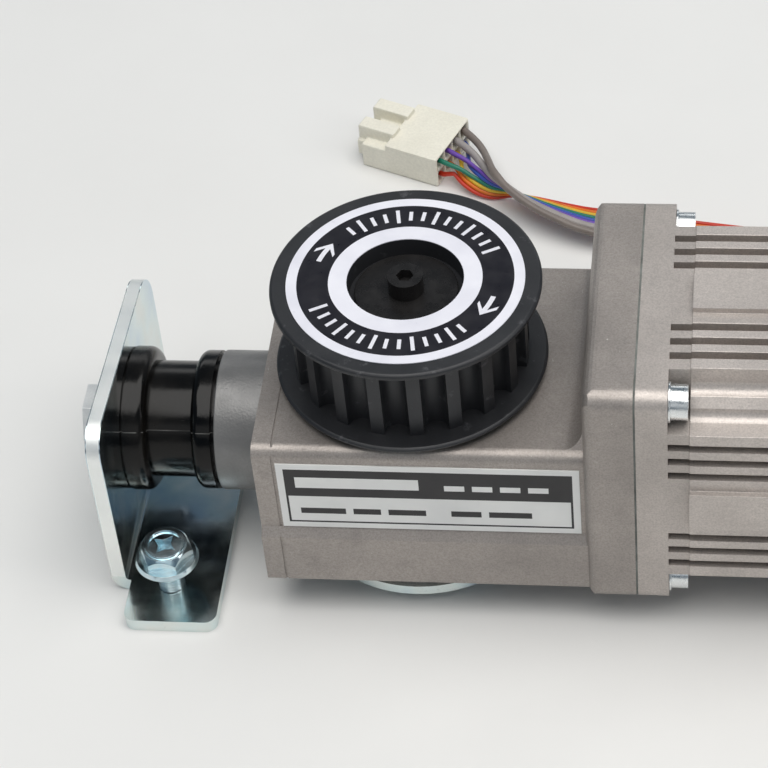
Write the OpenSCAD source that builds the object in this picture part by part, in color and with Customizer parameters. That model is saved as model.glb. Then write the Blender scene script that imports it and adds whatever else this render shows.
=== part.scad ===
// Gearmotor for a sliding door: a brushless motor with a finned square body drives
// a bevel gear in a die-cast housing, and the output shaft stands up out of it with
// a toothed belt pulley. Two rubber bushes carry the unit between two L brackets.
//
// Axes: +X runs from the gearbox to the motor tail, +Z is the pulley axis, and the
// bracket feet rest on z = 0. The frame origin is the middle of the footprint.

/* [Belt pulley] */
// Number of teeth on the pulley
pulley_teeth = 19; // [18:1:20]
// Pitch of the belt teeth
belt_pitch = 8; // [7.5:0.5:8]
// Distance between the two pulley flanges
belt_gap = 17.8; // [12:0.2:18.2]
// Diameter of the upper flange
upper_flange_d = 53.4; // [53:0.2:56]
// Diameter of the lower flange
lower_flange_d = 54.4; // [53:0.2:56]

/* [Motor] */
// Side of the square flange between gearbox and motor
flange_side = 57.6; // [57:0.2:60]
// Height of the motor axis above the resting plane
motor_z = 36.3; // [36:0.1:37]
// Length of the finned motor body
body_len = 80; // [70:1:110]
// Length of the stator stack
stack_len = 46; // [30:1:50]

/* [Gears] */
// Teeth on the motor pinion
pinion_teeth = 8; // [8:1:8]
// Teeth on the bevel wheel of the output shaft
wheel_teeth = 48; // [48:1:48]
// Outer pitch radius of the bevel wheel
wheel_r = 19.6; // [19:0.1:19.6]

/* [Mounting] */
// Height of the bush axis above the resting plane
bush_z = 27.8; // [27.5:0.1:28]
// Outer diameter of the rubber bush
bush_d = 29.8; // [28:0.2:30]
// Width of each bracket foot along the table edge
foot_len = 68; // [60:1:72]
// Thickness of the bracket plate
plate_t = 3; // [2.5:0.5:3]
// Distance between the two holes of a bracket foot
foot_pitch = 47.6; // [44:0.2:50]

/* [Lead] */
// Width of the flat ribbon lead
ribbon_w = 9.6; // [8:0.2:12]
// Thickness of the ribbon lead
ribbon_t = 1.3; // [1:0.1:1.6]

/* [Hidden] */

// Every X below is measured from the pulley axis.
plate_in = -60.8;                       // inner face of the front bracket plate
plate_out = plate_in - plate_t;
bush_in = -40.2;                        // end of the bush against the boss
bush_len = bush_in - plate_in;
boss_d = 28.8;
house_left = -29.6;
flange_x = 35.5;                        // square flange of the casting
joint_x = 45.3;                         // gasket joint
gasket_t = 0.4;
bell_x = 51.8;                          // back face of the front bell plate
body_x = 55.9;                          // front end of the finned body
tail_x = body_x + body_len;
rear_t = 12.1;                          // thickness of the rear bell
rear_x = tail_x + rear_t;
bolt_head_t = 5.2;
boss_len = house_left - bush_in;
rear_plate = rear_x + boss_len + bush_len;
x_min = plate_out - bolt_head_t;
x_max = rear_plate + plate_t + bolt_head_t;
gearbox_x = -(x_min + x_max) / 2;       // pulley axis in the frame

// Heights of the gearbox and the pulley
floor_z = 10.2;                         // underside of the housing
roof_z = 46.2;                          // top of the housing
ceiling_z = 35;                         // roof of the gear chamber
cover_z = 3.8;
cover_t = 2.3;
front_y = 26;                           // label face
lower_y = 27.5;                         // proud lower part of the housing
back_y = 28.1;                          // plain back face
ledge_z = [22.6, 24.4];
pulley_z = 47.6;
flange_t = 1.2;
teeth_z = pulley_z + flange_t;
upper_z = teeth_z + belt_gap;
upper_t = 1.7;
label_z = upper_z + upper_t;
label_t = 0.15;
recess_r = 11.4;
recess_z = label_z - 3.9;
washer_t = 1.2;

// Shaft, bearings and gear sizes
shaft_r = 6;
motor_shaft_r = 4;
clearance = 0.05;
motor_brg = [4, 11, 7, 1.95, 7];        // bore r, outer r, width, ball r, balls
output_brg = [6, 10.5, 5, 1.2, 12];
front_brg_x = 37;
spigot_x = front_brg_x + motor_brg[2];    // end of the bell spigot, against the bearing
rear_brg_x = tail_x + 0.6;
low_brg_z = cover_z + cover_t;
top_brg_z = 38.9;
pinion_r = wheel_r * pinion_teeth / wheel_teeth;
gear_slope = pinion_teeth / wheel_teeth;
wheel_in = 14.1;                        // inner end of the teeth
add_p = 0.78;                           // pinion addendum at the outer end
add_w = 0.42;                           // wheel addendum at the outer end
ded_p = 0.70;
ded_w = 1.05;
tip_p = pinion_r + add_p;

// Finned section
core_half = 23.7;
fin_half = 29.1;
fin_block = 20;
panel_half = 4.9;
panel_h = 1.2;
groove_w = 1.8;
groove_d = 4.6;
groove_at = [8.7, 12.55, 16.4];
screw_at = 24.2;                        // flange screws from the motor axis
tie_at = 17.3;                          // tie bolts from the motor axis
stator_r = 21;
rotor_r = 11;
air_gap = 0.6;
slots = 9;
poles = 8;

zinc = "#b9c3c6";
cast = "#857f78";
rubber = "#1b1b1c";

// ---------------------------------------------------------------- helpers

module at_gearbox() translate([gearbox_x, 0, 0]) children();

module at_motor() translate([gearbox_x, 0, motor_z]) children();

module along_x(x, len, r) translate([x, 0, 0]) rotate([0, 90, 0]) cylinder(h = len, r = r, $fn = 72);

module ring_x(x, len, r_in, r_out) difference() {
    along_x(x, len, r_out);
    along_x(x - 1, len + 2, r_in);
}

module ring_z(z, h, r_in, r_out) translate([0, 0, z]) difference() {
    cylinder(h = h, r = r_out, $fn = 96);
    translate([0, 0, -1]) cylinder(h = h + 2, r = r_in, $fn = 96);
}

// Square with rounded corners, drawn in the YZ plane and swept along X.
module square_x(x, len, half, r) translate([x, 0, 0]) rotate([90, 0, 90]) linear_extrude(len)
    rounded_square(half, r);

module rounded_square(half, r) union() {
    square([2 * half, 2 * (half - r)], center = true);
    square([2 * (half - r), 2 * half], center = true);
    for (sx = [-1, 1], sy = [-1, 1])
        translate([sx * (half - r), sy * (half - r)]) circle(r = r, $fn = 48);
}

// The four corners of a square pattern in the YZ plane.
module four_corners(at) for (y = [-1, 1], z = [-1, 1]) translate([0, y * at, z * at]) children();

// Repeats the front mounting parts at the tail, turned to face it.
module both_ends() {
    at_gearbox() children();
    translate([gearbox_x + plate_in + rear_plate, 0, 0]) mirror([1, 0, 0]) children();
}

// Deep-groove bearing along Z with its lower face at z = 0.
module outer_ring(b) rotate_extrude($fn = 96) difference() {
    translate([(b[0] + b[1]) / 2 + 0.8 * b[3], 0])
        square([(b[1] - b[0]) / 2 - 0.8 * b[3], b[2]]);
    translate([(b[0] + b[1]) / 2, b[2] / 2]) circle(r = b[3] + 0.07, $fn = 48);
}

module inner_ring(b) rotate_extrude($fn = 96) difference() {
    translate([b[0], 0]) square([(b[1] - b[0]) / 2 - 0.8 * b[3], b[2]]);
    translate([(b[0] + b[1]) / 2, b[2] / 2]) circle(r = b[3] + 0.07, $fn = 48);
}

module balls(b) for (i = [0 : b[4] - 1]) rotate(i * 360 / b[4])
    translate([(b[0] + b[1]) / 2, 0, b[2] / 2]) sphere(r = b[3], $fn = 32);

module cage(b) difference() {
    ring_z(b[2] * 0.14, b[2] * 0.72, (b[0] + b[1]) / 2 - 0.28 * b[3], (b[0] + b[1]) / 2 + 0.28 * b[3]);
    for (i = [0 : b[4] - 1]) rotate(i * 360 / b[4]) translate([b[0], 0, b[2] / 2])
        rotate([0, 90, 0]) cylinder(h = b[1] - b[0], r = b[3] + 0.04, $fn = 32);
}

module at_motor_bearings() at_motor() for (x = [front_brg_x, rear_brg_x])
    translate([x, 0, 0]) rotate([0, 90, 0]) children();

module at_output_bearings() at_gearbox() for (z = [low_brg_z, top_brg_z])
    translate([0, 0, z]) children();

// Socket cap screw along Z: head seat at z = 0, shank down.
module cap_screw(d, len, head_r, head_h, key) {
    difference() {
        cylinder(h = head_h, r = head_r, $fn = 48);
        translate([0, 0, head_h * 0.45]) cylinder(h = head_h, r = key / sqrt(3), $fn = 6);
    }
    translate([0, 0, -len]) cylinder(h = len, r = d / 2, $fn = 48);
}

// ---------------------------------------------------------------- mounting

foot_x = [plate_out, bush_in - 0.3];
bend_r = 1;
plate_y = [-23.1, 34];
plate_top = [44.4, 40.4];               // front and back height of the plate
foot_hole_x = -51;

module front_plate_outline() difference() {
    plate_outline();
    translate([0, bush_z]) circle(r = 4.2, $fn = 48);
}

// Upright plate in Y and Z with rounded upper corners and a falling top edge.
module plate_outline() {
    front_r = 6;
    back_r = 9.5;
    polygon([
        [plate_y[0], 0], [plate_y[1], 0], [plate_y[1], plate_top[1] - back_r],
        [plate_y[1] - back_r, plate_top[1]], [plate_y[0] + front_r, plate_top[0]],
        [plate_y[0], plate_top[0] - front_r]
    ]);
    translate([plate_y[0] + front_r, plate_top[0] - front_r]) circle(r = front_r, $fn = 48);
    translate([plate_y[1] - back_r, plate_top[1] - back_r]) circle(r = back_r, $fn = 48);
}

module foot_outline() difference() {
    r = 2.5;
    union() {
        translate([plate_in + bend_r, -foot_len / 2 + r])
            square([foot_x[1] - plate_in - bend_r, foot_len - 2 * r]);
        translate([plate_in + bend_r + r, -foot_len / 2])
            square([foot_x[1] - plate_in - bend_r - 2 * r, foot_len]);
        for (x = [plate_in + bend_r + r, foot_x[1] - r], y = [-1, 1])
            translate([x, y * (foot_len / 2 - r)]) circle(r = r, $fn = 48);
    }
    for (y = [-1, 1]) translate([foot_hole_x, y * foot_pitch / 2]) circle(r = 2.8, $fn = 48);
}

module bracket() {
    outer = plate_t + bend_r;
    difference() {
        translate([plate_out, 0, 0]) rotate([90, 0, 90]) linear_extrude(plate_t) front_plate_outline();
        translate([plate_out - 1, plate_y[0] - 1, -1]) cube([plate_t + 2, 60, outer + 1]);
    }
    linear_extrude(plate_t) foot_outline();
    translate([plate_in + bend_r, plate_y[1], outer]) rotate([90, 0, 0])
        linear_extrude(plate_y[1] - plate_y[0]) difference() {
            circle(r = outer, $fn = 64);
            circle(r = bend_r, $fn = 32);
            translate([0, -outer - 1]) square([outer + 1, 2 * outer + 2]);
            translate([-outer - 1, 0]) square(2 * outer + 2);
        }
}

module front_bracket() color(zinc) at_gearbox() bracket();

module rear_bracket() color(zinc) translate([gearbox_x + plate_in + rear_plate, 0, 0])
    mirror([1, 0, 0]) bracket();

// Hexagon flange bolt with a cross recess, standing half driven in each foot's front hole.
module foot_bolts() color(zinc) both_ends() translate([foot_hole_x, -foot_pitch / 2, 0]) {
    flange_z = 11.2;
    top_z = 15.8;
    difference() {
        union() {
            translate([0, 0, flange_z]) cylinder(h = 1, r1 = 6.6, r2 = 6.2, $fn = 64);
            intersection() {
                translate([0, 0, flange_z + 0.9]) cylinder(h = top_z - flange_z - 1.3, r = 5.7, $fn = 6);
                translate([0, 0, flange_z]) cylinder(h = top_z - flange_z, r1 = 7.6, r2 = 4.4, $fn = 64);
            }
            translate([0, 0, top_z - 0.5]) cylinder(h = 0.5, r = 4.1, $fn = 64);
        }
        translate([0, 0, top_z - 2.4]) rotate(60) linear_extrude(4)
            polygon([for (k = [0 : 7]) (k % 2 == 0 ? 2.7 : 1.3) * [cos(45 * k), sin(45 * k)]]);
        translate([0, 0, top_z - 0.5]) cylinder(h = 2, r = 3.4, $fn = 48);
    }
    cylinder(h = flange_z + 0.1, r = 2.5, $fn = 48);
}

module bush_bolts() color(zinc) both_ends() translate([0, 0, bush_z]) {
    translate([plate_out - bolt_head_t, 0, 0]) rotate([0, 90, 0]) {
        rotate(30) cylinder(h = bolt_head_t - 0.4, r = 6.93, $fn = 6);
        translate([0, 0, bolt_head_t - 0.4]) cylinder(h = 0.4, r = 6.2, $fn = 64);
    }
    along_x(plate_out - 1, 35, 4);
}

module bush_sleeves() color(zinc) both_ends() translate([0, 0, bush_z])
    ring_x(plate_in, bush_len, 4.2, 6);

// Bobbin-shaped rubber bush: double lip at the plate, single lip at the boss.
module bush_profile() {
    r = bush_d / 2;
    neck = 12;
    difference() {
        union() {
            translate([0, 6]) square([1.4, r - 6.2]);
            translate([0, 6]) square([bush_len, neck - 6]);
            translate([1.4, 6]) square([1, r - 7]);
            translate([2, 6]) square([2.6, r - 6]);
            translate([4.6, 6]) square([2, r - 8]);
            translate([4.6, r - 2]) circle(r = 2, $fn = 40);
            translate([bush_len - 3.3, 6]) square([2.5, r - 6.6]);
            translate([bush_len - 5, 6]) square([2, r - 8.3]);
            translate([bush_len - 3.3, r - 2.3]) circle(r = 1.7, $fn = 40);
            translate([bush_len - 1, 6]) square([1, r - 7.9]);
        }
    }
}

module rubber_bush() translate([plate_in, 0, bush_z]) rotate([0, 90, 0])
    rotate_extrude($fn = 96) rotate(90) mirror([0, 1]) bush_profile();

module front_rubber_bush() color(rubber) at_gearbox() rubber_bush();

module rear_rubber_bush() color(rubber) translate([gearbox_x + plate_in + rear_plate, 0, 0])
    mirror([1, 0, 0]) rubber_bush();

// Round boss screwed to the end of the housing; the bush bolt threads into it.
module front_bush_boss() color("#6d6d6e") at_gearbox() translate([0, 0, bush_z]) difference() {
    union() {
        along_x(bush_in, boss_len, boss_d / 2);
        along_x(house_left, 2, 9);
    }
    along_x(bush_in - 1, boss_len + 4, 4);
}

// ---------------------------------------------------------------- gear housing

// Front-to-back profile of the housing: a label face above a proud lower half.
module housing_outline() {
    front_r = 2.5;
    back_r = 1;
    polygon([
        [-lower_y, floor_z], [back_y, floor_z], [back_y, roof_z - back_r], [back_y - back_r, roof_z],
        [front_r - front_y, roof_z], [-front_y, roof_z - front_r], [-front_y, ledge_z[1]],
        [-lower_y, ledge_z[0]]
    ]);
    translate([front_r - front_y, roof_z - front_r]) circle(r = front_r, $fn = 48);
    translate([back_y - back_r, roof_z - back_r]) circle(r = back_r, $fn = 48);
}

// Slab along Z, 2 * half wide in Y, whose edges at x = 0 are eased in small steps.
module eased_slab(len, half, ease, drop) {
    edge = [for (a = [0 : 15 : 90]) [ease * (1 - sin(a)), half - drop * (1 - cos(a))]];
    linear_extrude(3 * flange_side, center = true) polygon(concat([[len, half]], edge,
        [for (i = [6 : -1 : 0]) [edge[i][0], -edge[i][1]]], [[len, -half]]));
}

// Square flange with eased edges and corners on the near end of the run.
module eased_flange(x, len, ease) {
    half = flange_side / 2;
    intersection() {
        square_x(x, len, half, 3.5);
        translate([x, 0, 0]) eased_slab(len, half, ease, ease);
        translate([x, 0, 0]) rotate([90, 0, 0]) eased_slab(len, half, ease, ease);
        translate([x, 0, 0]) rotate([45, 0, 0]) eased_slab(len, 1.38 * half, ease, 1.6 * ease);
        translate([x, 0, 0]) rotate([-45, 0, 0]) eased_slab(len, 1.38 * half, ease, 1.6 * ease);
    }
}

module gear_housing() color(cast) at_gearbox() difference() {
    union() {
        translate([house_left, 0, 0]) rotate([90, 0, 90])
            linear_extrude(flange_x + 1 - house_left) housing_outline();
        translate([0, 0, cover_z + cover_t]) cylinder(h = 6, r = 24.3, $fn = 96);
        translate([0, 0, motor_z]) eased_flange(flange_x, joint_x - flange_x, 2.6);
        flange_fillet();
    }
    // groove behind the end rim
    translate([house_left + 3.8, 0, 0]) {
        translate([0, 0.25 - front_y - 2, ledge_z[1]]) cube([0.5, 2, roof_z]);
        for (y = [0.25 - lower_y - 2, back_y - 0.25]) translate([0, y, floor_z - 1]) cube([0.5, 2, roof_z]);
        translate([0, -front_y, roof_z - 0.25]) cube([0.5, front_y + back_y, 2]);
    }
    // gear chamber, opened from below
    translate([0, 0, 0]) cylinder(h = ceiling_z, r = 20.6, $fn = 96);
    translate([0, 0, ceiling_z - 1]) cylinder(h = 20, r = 8.5, $fn = 96);
    translate([0, 0, top_brg_z]) cylinder(h = 20, r = output_brg[1], $fn = 96);
    // motor side: pinion passage, bearing seat and spigot
    translate([0, 0, motor_z]) {
        along_x(13.6, 30, tip_p + 0.9);
        along_x(front_brg_x, 20, motor_brg[1]);
        along_x(spigot_x, 10, 14);
        for (y = [-1, 1], z = [-1, 1]) translate([0, y * screw_at, z * screw_at])
            along_x(joint_x - 9, 20, 2);
    }
    // end boss spigot and bolt, cover screws
    translate([0, 0, bush_z]) {
        along_x(house_left - 1, 3, 9);
        along_x(house_left - 1, 5.2, 4);
    }
    for (a = [30 : 120 : 270]) rotate(a) translate([22.6, 0, 0]) cylinder(h = 12, r = 1.25, $fn = 32);
}

// Cove between the housing roof and the tall square flange, with sloping ends.
module flange_fillet() {
    r = 4;
    intersection() {
        translate([flange_x - r, 0, roof_z]) rotate([90, 0, 0])
            linear_extrude(4 * front_y, center = true) difference() {
                translate([0, -1]) square([r + 1, r + 1]);
                translate([0, r]) circle(r = r, $fn = 64);
            }
        translate([flange_x - r - 1, 0, roof_z]) rotate([90, 0, 90]) linear_extrude(r + 3) polygon([
            [2.2 - front_y, -1], [back_y - 1, -1], [back_y - 1, 0], [back_y - 1 - r, r],
            [2.2 - front_y + r, r], [2.2 - front_y, 0]]);
    }
}

module bottom_cover() color(zinc) at_gearbox() difference() {
    union() {
        translate([0, 0, cover_z]) cylinder(h = cover_t, r = 25.3, $fn = 96);
        ring_z(cover_z + cover_t - 0.5, output_brg[2] + 0.9, output_brg[1], 13);
        ring_z(cover_z + cover_t - 0.5, 3, 18.6, 20.4);
    }
    for (a = [30 : 120 : 270]) rotate(a) translate([22.6, 0, cover_z - 1]) {
        cylinder(h = 5, r = 1.35, $fn = 32);
        cylinder(h = 2.2, r = 2.3, $fn = 32);
    }
}

module bottom_cover_screws() color(zinc) at_gearbox()
    for (a = [30 : 120 : 270]) rotate(a) translate([22.6, 0, cover_z]) difference() {
        union() {
            cylinder(h = 1.2, r = 2.2, $fn = 32);
            cylinder(h = 8, r = 1.25, $fn = 32);
        }
        translate([0, 0, -1]) cylinder(h = 1.7, r = 0.9, $fn = 6);
    }

// Blank rating plate on the label face.
module nameplate() color("#e4e4de") at_gearbox()
    translate([-25, -front_y - 0.25, 24.8]) cube([59.6, 0.25, 18]);

// ---------------------------------------------------------------- motor casing

module flange_gasket() color("#3a3a38") at_motor() difference() {
    square_x(joint_x, gasket_t, flange_side / 2 - 0.08, 3.4);
    along_x(joint_x - 1, 3, 14.4);
    four_corners(screw_at) along_x(joint_x - 1, 3, 2.2);
}

// One quarter of the finned section: a fin block standing on the core square.
module fin_blocks() for (a = [0 : 90 : 270]) rotate(a) difference() {
    union() {
        translate([-fin_block, core_half - 1]) square([2 * fin_block, fin_half - core_half + 1]);
        translate([-panel_half, fin_half - 1]) square([2 * panel_half, panel_h + 1]);
    }
    for (g = groove_at, s = [-1, 1])
        translate([s * g - groove_w / 2, fin_half - groove_d]) square([groove_w, groove_d + 1]);
}

module core_square() polygon([for (a = [0 : 90 : 270], k = [-1, 1])
    [core_half * cos(a) - k * (core_half - 1.7) * sin(a),
     core_half * sin(a) + k * (core_half - 1.7) * cos(a)]]);

module finned_section() {
    cove = 2;
    union() {
        core_square();
        fin_blocks();
        for (a = [0 : 90 : 270], s = [-1, 1]) rotate(a) scale([s, 1])
            translate([fin_block - 0.01, core_half - 0.01]) difference() {
                square(cove);
                translate([cove, cove]) circle(r = cove, $fn = 48);
            }
    }
}

module finned_bar(x, len) translate([x, 0, 0]) rotate([90, 0, 90]) linear_extrude(len)
    finned_section();

// Cross-shaped back of the bell: grooved like the body, flush with the flange, and cut
// away round the flange screws.
module bell_blocks() translate([bell_x - 0.5, 0, 0]) rotate([90, 0, 90])
    linear_extrude(body_x - bell_x + 0.5) intersection() {
        union() {
            square([2 * fin_block, flange_side], center = true);
            square([flange_side, 2 * fin_block], center = true);
        }
        union() {
            fin_blocks();
            square(2 * core_half, center = true);
        }
    }

module motor_front_bell() color(cast) at_motor() difference() {
    union() {
        square_x(joint_x + gasket_t, bell_x - joint_x - gasket_t, flange_side / 2, 3.5);
        bell_blocks();
        ring_x(spigot_x, joint_x + 2 - spigot_x, 9.6, 13.95);
    }
    along_x(joint_x - 5, 20, 9.6);
    along_x(bell_x + 0.5, 10, stator_r);
    four_corners(screw_at) along_x(joint_x, 20, 2.2);
    four_corners(tie_at) along_x(bell_x - 4, 20, 2);
}

module flange_screws() color(zinc) at_motor() four_corners(screw_at)
    translate([bell_x + 0.5, 0, 0]) rotate([0, 90, 0]) cap_screw(4, 14, 3.5, 3.3, 3);

module flange_screw_washers() color(zinc) at_motor() four_corners(screw_at)
    ring_x(bell_x, 0.5, 2.2, 4.05);

module motor_body() color(cast) at_motor() difference() {
    finned_bar(body_x, body_len);
    along_x(body_x - 1, body_len + 2, stator_r);
    four_corners(tie_at) along_x(body_x - 1, body_len + 2, 2.1);
}

module motor_rear_bell() color(cast) at_motor() difference() {
    union() {
        translate([rear_x, 0, 0]) mirror([1, 0, 0]) eased_flange(0, rear_t, 2.6);
        ring_x(tail_x - 7.8, 8.8, 18, stator_r);
        translate([0, 0, bush_z - motor_z]) along_x(rear_x, boss_len, boss_d / 2);
    }
    along_x(tail_x - 1, 1 + 8.1, motor_brg[1]);
    ring_x(tail_x - 1, 9, 13, 18);
    four_corners(tie_at) along_x(tail_x - 1, 30, 2.2);
    four_corners(tie_at) along_x(rear_x - 4.2, 30, 3.8);
    translate([0, 0, bush_z - motor_z]) along_x(rear_x + boss_len - 13.4, 20, 4);
    translate([exit_x - 5.6, 15, -1.7]) cube([11.2, 20, 3.4]);
    translate([tail_x - 1, 15, -1.7]) cube([exit_x + 6.6 - tail_x, 4, 3.4]);
}

module tie_bolts() color(zinc) at_motor() four_corners(tie_at)
    translate([rear_x - 4.2, 0, 0]) rotate([0, 90, 0])
        cap_screw(4, rear_x - 4.2 - bell_x + 2.5, 3.5, 4, 3);

// ---------------------------------------------------------------- motor inside

stack_x = (body_x + tail_x) / 2 - stack_len / 2;

module stator_tooth() union() {
    translate([rotor_r + air_gap + 1.4, -1.8]) square([stator_r - 4 - rotor_r - air_gap, 3.6]);
    intersection() {
        difference() {
            circle(r = rotor_r + air_gap + 1.5, $fn = 96);
            circle(r = rotor_r + air_gap, $fn = 96);
        }
        translate([5, -3.6]) square([12, 7.2]);
    }
}

module stator_core() color("#70757a") at_motor() translate([stack_x, 0, 0]) rotate([90, 0, 90])
    linear_extrude(stack_len) union() {
        difference() {
            circle(r = stator_r, $fn = 96);
            circle(r = stator_r - 3.5, $fn = 96);
        }
        for (i = [0 : slots - 1]) rotate(i * 360 / slots) stator_tooth();
    }

// One coil round each stator tooth.
module stator_windings() color("#b06a2c") at_motor() for (i = [0 : slots - 1])
    translate([stack_x, 0, 0]) rotate([i * 360 / slots, 0, 0]) difference() {
        translate([-3, 13.4, -2.8]) cube([stack_len + 6, 3.8, 5.6]);
        translate([-0.05, 12, -1.85]) cube([stack_len + 0.1, 8, 3.7]);
    }

module hall_sensor_board() color("#1f5a33") at_motor() ring_x(tail_x - 9, 1.2, 12, stator_r - 0.5);

module rotor_shaft() color("#9aa0a4") at_motor() difference() {
    union() {
        along_x(20.6, rear_brg_x + motor_brg[2] - 20.4, motor_shaft_r);
        along_x(front_brg_x + motor_brg[2], 2.4, 5.2);
        along_x(rear_brg_x - 2, 2, 5.2);
    }
    along_x(20, 6, 2);
}

module rotor_core() color("#70757a") at_motor()
    ring_x(stack_x, stack_len, motor_shaft_r, rotor_r - 2);

module rotor_magnets() color("#4b4e52") at_motor() translate([stack_x, 0, 0]) rotate([90, 0, 90])
    linear_extrude(stack_len) for (i = [0 : poles - 1]) rotate(i * 360 / poles) intersection() {
        difference() {
            circle(r = rotor_r, $fn = 96);
            circle(r = rotor_r - 2, $fn = 96);
        }
        polygon([[0, 0], [20, -7.6], [20, 7.6]]);
    }

// Half angle of an involute tooth at radius r, for base radius rb.
function inv(a) = tan(a) * 180 / PI - a;
function half_angle(r, rp, rb, t) = t / (2 * rp) * 180 / PI + inv(20)
    - (r > rb ? inv(acos(rb / r)) : 0);

// Pinion tooth outline as polar points, from root to tip and back.
pinion_rb = pinion_r * cos(20);
flank_r = [for (k = [0 : 5]) pinion_rb + (tip_p - pinion_rb) * k / 5];
pinion_tooth = 0.98;
function pinion_points() = [for (i = [0 : pinion_teeth - 1]) let (c = i * 360 / pinion_teeth) each concat(
    [let (h = half_angle(pinion_rb, pinion_r, pinion_rb, pinion_tooth))
        (pinion_r - ded_p) * [cos(c - h * 0.86), sin(c - h * 0.86)]],
    [for (r = flank_r) let (h = half_angle(r, pinion_r, pinion_rb, pinion_tooth))
        r * [cos(c - h), sin(c - h)]],
    [for (k = [5 : -1 : 0]) let (r = flank_r[k], h = half_angle(r, pinion_r, pinion_rb, pinion_tooth))
        r * [cos(c + h), sin(c + h)]],
    [let (h = half_angle(pinion_rb, pinion_r, pinion_rb, pinion_tooth))
        (pinion_r - ded_p) * [cos(c + h * 0.86), sin(c + h * 0.86)]])];

// Tapered pinion whose teeth all run to the point where the two axes cross.
module bevel_pinion() color("#a8a49a") at_motor() {
    translate([wheel_r, 0, 0]) rotate([0, -90, 0]) rotate(180)
        linear_extrude(height = wheel_r - wheel_in, scale = wheel_in / wheel_r)
            polygon(pinion_points());
    translate([wheel_r, 0, 0]) rotate([0, 90, 0]) cylinder(h = 1, r = 2.2, $fn = 12);
    translate([wheel_r + 1, 0, 0]) rotate([0, 90, 0]) cylinder(h = 5, r = 2, $fn = 12);
}

module motor_bearing_outer_rings() color("#c4c6c8") at_motor_bearings() outer_ring(motor_brg);
module motor_bearing_inner_rings() color("#c4c6c8") at_motor_bearings() inner_ring(motor_brg);
module motor_bearing_balls() color("#dadcde") at_motor_bearings() balls(motor_brg);
module motor_bearing_cages() color("#b39a5b") at_motor_bearings() cage(motor_brg);

// Ring spring that pushes the rear bearing forward.
module preload_washer() color("#9aa0a4") at_motor()
    ring_x(rear_brg_x + motor_brg[2], 0.5, 9, 10.9);

// ---------------------------------------------------------------- output shaft

key_w = 4;
wheel_key_z = 14;
pulley_key_z = 51;

module output_shaft() color("#9aa0a4") at_gearbox() difference() {
    union() {
        translate([0, 0, low_brg_z + 0.4]) cylinder(h = recess_z - low_brg_z - 0.8, r = shaft_r, $fn = 72);
        translate([0, 0, 29.5]) cylinder(h = top_brg_z - 29.5, r = 7.2, $fn = 72);
    }
    translate([0, 0, recess_z - 16]) cylinder(h = 20, r = 2, $fn = 32);
    translate([4, -key_w / 2, wheel_key_z]) cube([5, key_w, 9]);
    translate([4, -key_w / 2, pulley_key_z]) cube([5, key_w, 10]);
}

module shaft_keys() color("#8d9296") at_gearbox() {
    translate([4, -key_w / 2, wheel_key_z]) cube([4, key_w, 9]);
    translate([4, -key_w / 2, pulley_key_z]) cube([4, key_w, 10]);
}

// Heights of the wheel's tooth tips and roots fall in a straight line to the cone apex.
function wheel_tip_z(r) = motor_z - r * (gear_slope - add_w / wheel_r);
function wheel_root_z(r) = motor_z - r * (gear_slope + ded_w / wheel_r);
wheel_tip_half = 0.78;                  // half angle of a tooth at its tip
wheel_root_half = 2.3;                  // half angle at its root
rim_z = 29.5;

// Four loops of points round the toothed ring: top inner, top outer, bottom outer, bottom inner.
function wheel_loop(r, top) = [for (i = [0 : wheel_teeth - 1]) let (c = (i + 0.5) * 360 / wheel_teeth)
    each [for (k = [0 : 3]) let (
        a = c + [-wheel_root_half, -wheel_tip_half, wheel_tip_half, wheel_root_half][k],
        z = !top ? rim_z : (k == 1 || k == 2) ? wheel_tip_z(r) : wheel_root_z(r))
        [r * cos(a), r * sin(a), z]]];

module bevel_wheel_teeth() color("#a8a49a") at_gearbox() {
    n = 4 * wheel_teeth;
    points = concat(wheel_loop(wheel_in, true), wheel_loop(wheel_r, true),
        wheel_loop(wheel_r, false), wheel_loop(wheel_in, false));
    polyhedron(points, [for (l = [0 : 3], i = [0 : n - 1]) let (
        a = l * n + i, b = l * n + (i + 1) % n,
        c = ((l + 1) % 4) * n + (i + 1) % n, d = ((l + 1) % 4) * n + i)
        each [[a, b, c], [a, c, d]]]);
}

module bevel_wheel_hub() color("#8d8a80") at_gearbox() difference() {
    union() {
        translate([0, 0, low_brg_z + output_brg[2]]) cylinder(h = 2, r = 7.2, $fn = 72);
        translate([0, 0, low_brg_z + output_brg[2] + 1.4]) cylinder(h = 14, r = 10, $fn = 72);
        translate([0, 0, 25]) cylinder(h = 4.5, r = wheel_r, $fn = 96);
    }
    translate([0, 0, 5]) cylinder(h = 30, r = shaft_r, $fn = 72);
    translate([4, -key_w / 2, 5]) cube([4, key_w, 30]);
}

module output_bearing_outer_rings() color("#c4c6c8") at_output_bearings() outer_ring(output_brg);
module output_bearing_inner_rings() color("#c4c6c8") at_output_bearings() inner_ring(output_brg);
module output_bearing_balls() color("#dadcde") at_output_bearings() balls(output_brg);
module output_bearing_cages() color("#b39a5b") at_output_bearings() cage(output_brg);

spacer_z = top_brg_z + output_brg[2];

module shaft_spacer() color("#9aa0a4") at_gearbox()
    ring_z(spacer_z, pulley_z - spacer_z, shaft_r, 7.4);

module shaft_seal() color(rubber) at_gearbox()
    ring_z(spacer_z + 0.1, roof_z - spacer_z - 0.3, 7.4 + clearance, output_brg[1]);

// ---------------------------------------------------------------- pulley

tip_r = pulley_teeth * belt_pitch / (2 * PI) - 0.69;
groove_depth = 3.2;
hub_r = 18.6;

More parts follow.
